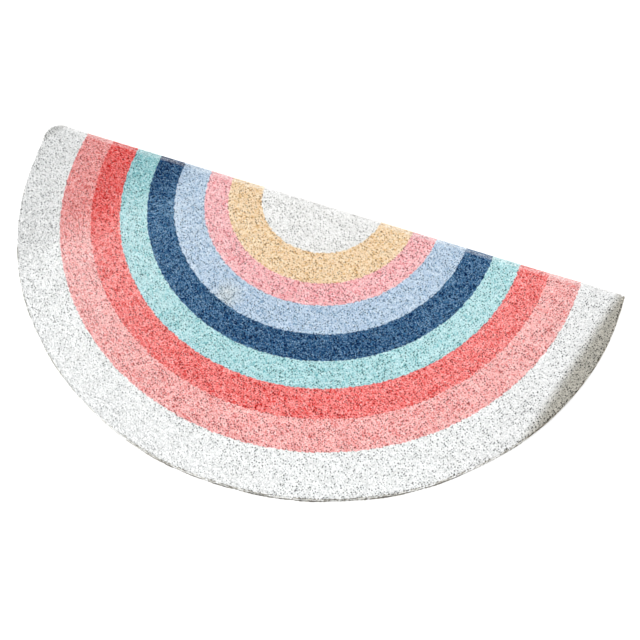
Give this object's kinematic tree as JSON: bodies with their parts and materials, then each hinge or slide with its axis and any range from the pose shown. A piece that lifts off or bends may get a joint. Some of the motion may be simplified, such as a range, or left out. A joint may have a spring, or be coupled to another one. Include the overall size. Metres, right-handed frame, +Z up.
{
  "type": "half-round doormat",
  "caption": "Flat half-round doormat of looped vinyl coil, printed with concentric arcs of colour that end at its straight edge.",
  "frame": {"origin": "middle of the bounding box, on the underside", "axes": "+X along the straight edge towards the crisp tip, +Y from the round rim towards the straight edge, +Z up from the ground"},
  "size_m": [0.7552, 0.3708, 0.0147],
  "materials": {
    "vinyl_coil": "looped vinyl strands, white, printed on top with bands of sand, pink, pale blue, navy, mint, coral and salmon"
  },
  "bodies": {
    "root": {"coil_mat": "vinyl_coil"}
  },
  "joints": []
}
